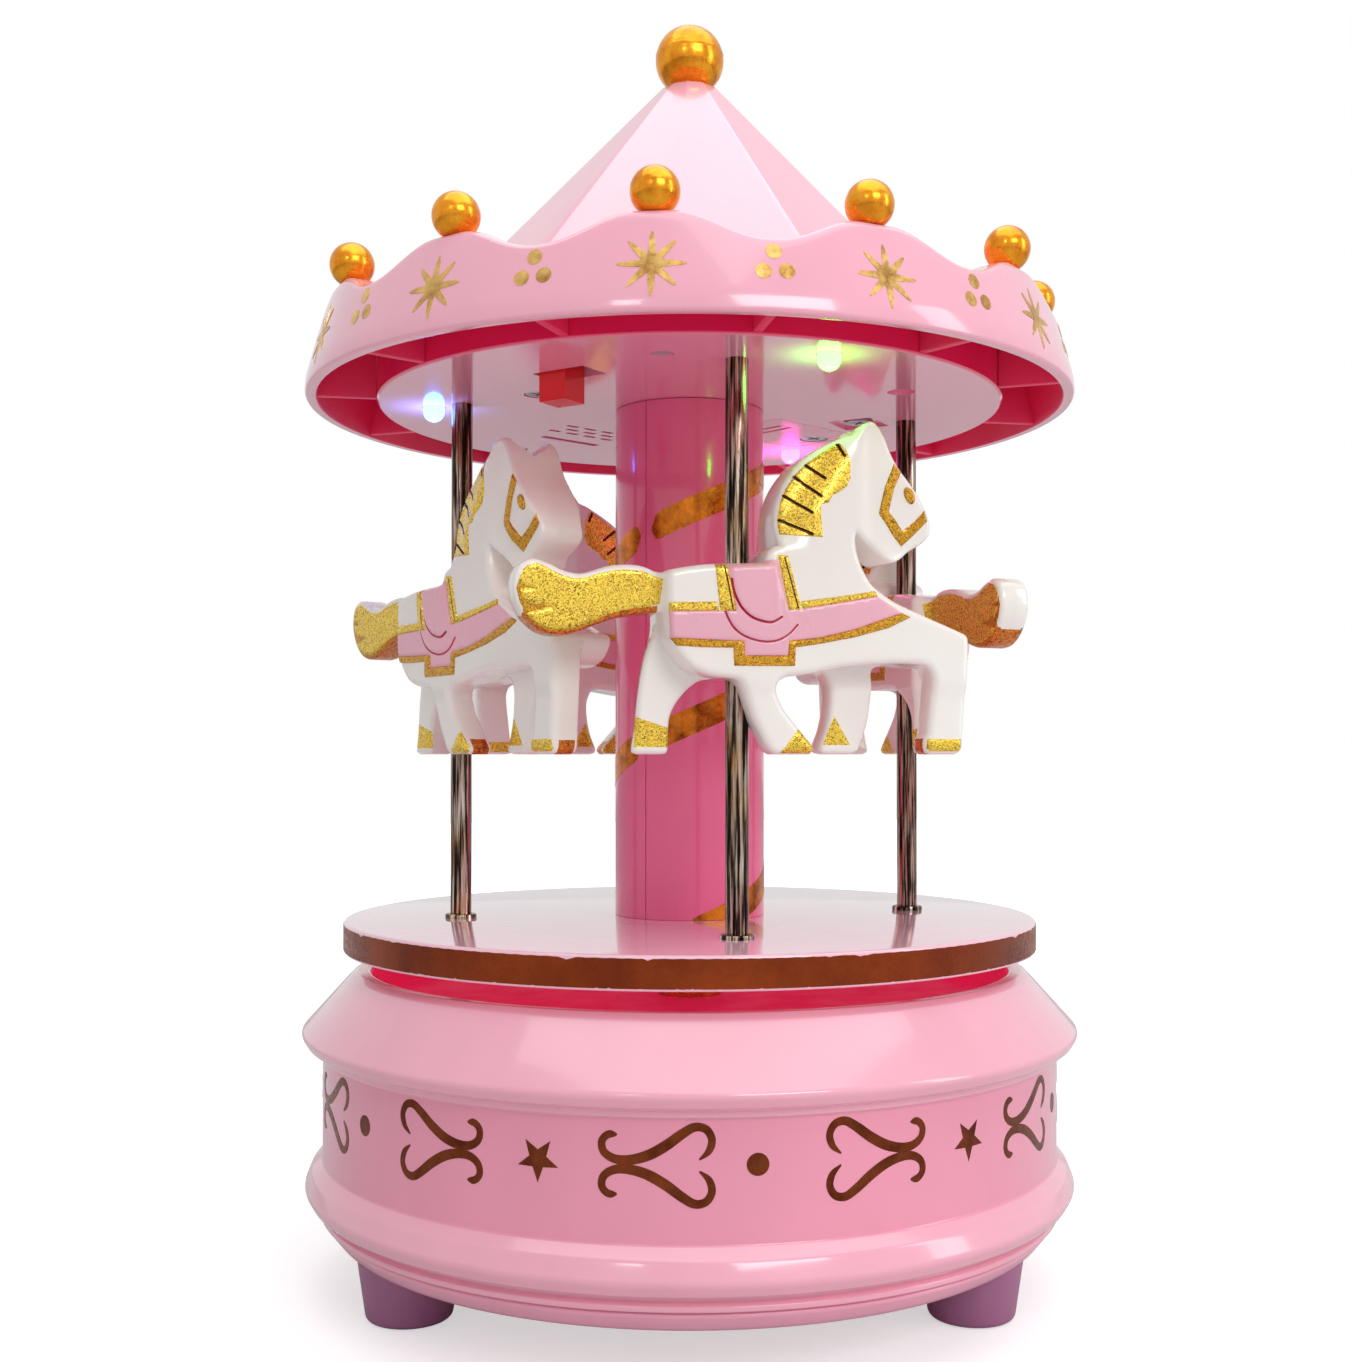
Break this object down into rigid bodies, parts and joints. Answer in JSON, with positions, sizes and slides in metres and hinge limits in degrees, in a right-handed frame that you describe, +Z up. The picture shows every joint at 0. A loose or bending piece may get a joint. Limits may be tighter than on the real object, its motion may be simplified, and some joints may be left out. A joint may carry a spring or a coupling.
{
  "type": "carousel music box",
  "caption": "Wind-up carousel music box: round base with clockwork movement, turning platform, central column, horses on poles and a scalloped canopy with balls and small lights.",
  "frame": {"origin": "centre of the plane of the feet, on the carousel axis", "axes": "+Z up along the carousel axis; the front pole stands on -Y"},
  "size_m": [0.1094, 0.1094, 0.1797],
  "materials": {
    "pink_shell": "glossy pale pink",
    "pink_platform": "glossy pale pink, copper foil on the edge",
    "pink_column": "glossy deep pink with bronze helical foil",
    "pink_underplate": "glossy pale pink",
    "pink_tray": "glossy pale pink",
    "mauve_feet": "satin mauve",
    "ivory_horse": "glossy ivory with pink and gold print",
    "plated_pole": "plated tube",
    "plated_collar": "satin pink",
    "gold_ball": "metallic orange gold",
    "zinc_screw": "zinc plated",
    "bushing_brass": "turned",
    "cast_frame": "die cast",
    "spring_steel": "blued spring steel",
    "housing_steel": "pressed",
    "bracket_brass": "pressed",
    "drum_brass": "polished",
    "gear_brass": "cut",
    "arbor_steel": "ground",
    "worm_wheel_plastic": "moulded nylon",
    "fan_plastic": "moulded nylon",
    "led_clear": "clear lens, unlit",
    "led_green": "lit green lens",
    "led_blue": "lit blue lens",
    "led_pink": "lit pink lens",
    "board_green": "circuit board",
    "cell_steel": "plated can",
    "contact_steel": "nickel plated",
    "door_pink": "glossy pink",
    "switch_black": "moulded",
    "switch_red": "glossy red"
  },
  "bodies": {
    "base": {"base_shell": "pink_shell", "bottom_tray": "pink_tray", "foot_1": "mauve_feet", "foot_2": "mauve_feet", "foot_3": "mauve_feet", "base_screws": "zinc_screw", "spindle_bushing": "bushing_brass", "movement_frame": "cast_frame", "movement_screws": "zinc_screw", "spring_housing": "housing_steel", "spring_cover": "housing_steel", "mainspring": "spring_steel", "comb": "spring_steel", "comb_screws": "zinc_screw", "governor_bracket": "bracket_brass"},
    "carousel": {"battery_contacts": "contact_steel", "battery_door": "door_pink", "battery_door_screw": "zinc_screw", "button_cells": "cell_steel", "canopy_rim": "pink_shell", "canopy_roof": "pink_shell", "canopy_underplate": "pink_underplate", "column_left_half": "pink_column", "column_right_half": "pink_column", "crown_wheel": "gear_brass", "horse_1_inner_half": "ivory_horse", "horse_1_outer_half": "ivory_horse", "horse_2_inner_half": "ivory_horse", "horse_2_outer_half": "ivory_horse", "horse_3_inner_half": "ivory_horse", "horse_3_outer_half": "ivory_horse", "horse_4_inner_half": "ivory_horse", "horse_4_outer_half": "ivory_horse", "led_blue": "led_blue", "led_board": "board_green", "led_clear": "led_clear", "led_green": "led_green", "led_pink": "led_pink", "light_switch": "switch_black", "platform": "pink_platform", "pole_1": "plated_pole", "pole_2": "plated_pole", "pole_3": "plated_pole", "pole_4": "plated_pole", "pole_collars": "plated_collar", "rim_balls": "gold_ball", "spindle": "arbor_steel", "top_ball": "gold_ball", "underplate_screws": "zinc_screw"},
    "music_drum": {"music_cylinder": "drum_brass", "cylinder_arbor": "arbor_steel", "cylinder_pinion": "gear_brass", "cylinder_wheel": "gear_brass"},
    "governor_shaft": {"governor_arbor": "arbor_steel", "governor_pinion": "gear_brass", "worm_wheel": "worm_wheel_plastic"},
    "governor_spinner": {"governor_worm": "arbor_steel", "governor_fan": "fan_plastic"},
    "switch_knob": {"light_switch_slider": "switch_red"}
  },
  "joints": [
    {"name": "carousel_spin", "type": "hinge", "parent": "base", "child": "carousel", "pos_m": [0, 0, 0], "axis": [0, 0, 1], "continuous": true},
    {"name": "drum_spin", "type": "hinge", "parent": "base", "child": "music_drum", "pos_m": [0.02, 0, 0.0282], "axis": [1, 0, 0], "continuous": true},
    {"name": "governor_shaft_spin", "type": "hinge", "parent": "base", "child": "governor_shaft", "pos_m": [0.0384, -0.01, 0.0282], "axis": [1, 0, 0], "continuous": true},
    {"name": "governor_spin", "type": "hinge", "parent": "base", "child": "governor_spinner", "pos_m": [0.0384, -0.0156, 0.0282], "axis": [0, 0, 1], "continuous": true},
    {"name": "light_switch_slide", "type": "slide", "parent": "carousel", "child": "switch_knob", "axis": [0.7314, -0.682, 0], "range_m": [0, 0.0024]}
  ],
  "couplings": [
    {"joint": "drum_spin", "follows": "carousel_spin", "ratio": 3},
    {"joint": "governor_shaft_spin", "follows": "carousel_spin", "ratio": -9},
    {"joint": "governor_spin", "follows": "carousel_spin", "ratio": -144}
  ]
}
